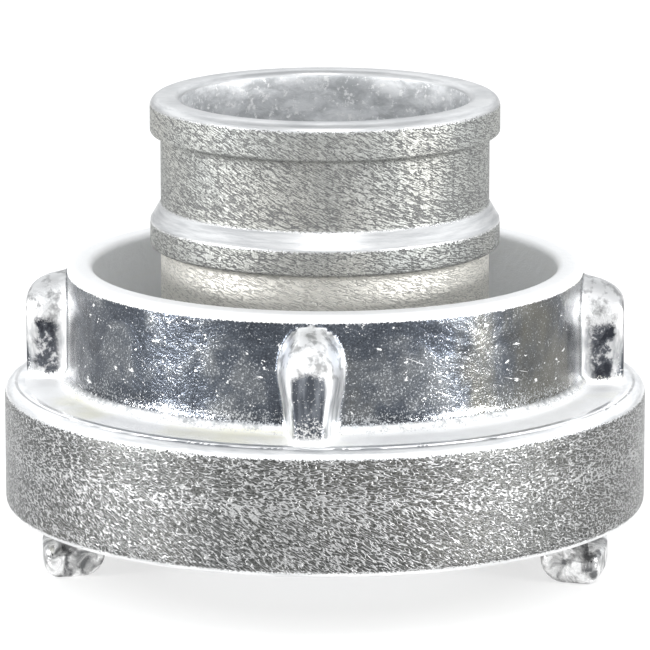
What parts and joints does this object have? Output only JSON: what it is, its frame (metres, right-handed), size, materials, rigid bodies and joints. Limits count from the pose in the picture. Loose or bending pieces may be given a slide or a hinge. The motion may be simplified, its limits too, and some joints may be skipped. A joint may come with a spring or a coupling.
{
  "type": "swivelling claw hose coupling",
  "caption": "Aluminium fire-hose coupling: a claw ring with spanner lugs turns on a beaded tail that the hose is bound to, and locks to an identical coupling with a part turn.",
  "frame": {"origin": "on the waterway's axis, in the plane of the lug ring's front face, where it meets an identical coupling", "axes": "+Z along the waterway towards the hose end; +X through the middle of one claw; +Y through the middle of one entry window"},
  "size_m": [0.098, 0.098, 0.0736],
  "materials": {
    "cast_aluminium": "cast, pressure-blasted, with bright edges",
    "forged_aluminium": "finely grained, with bright edges",
    "seal_rubber": "matt black",
    "spring_steel": "satin"
  },
  "bodies": {
    "tail": {"hose_tail": "forged_aluminium", "face_seal": "seal_rubber", "retaining_ring": "spring_steel"},
    "ring": {"lug_ring": "cast_aluminium"}
  },
  "joints": [
    {"name": "ring_swivel", "type": "hinge", "parent": "tail", "child": "ring", "pos_m": [0, 0, 0.016], "axis": [0, 0, 1], "continuous": true}
  ]
}
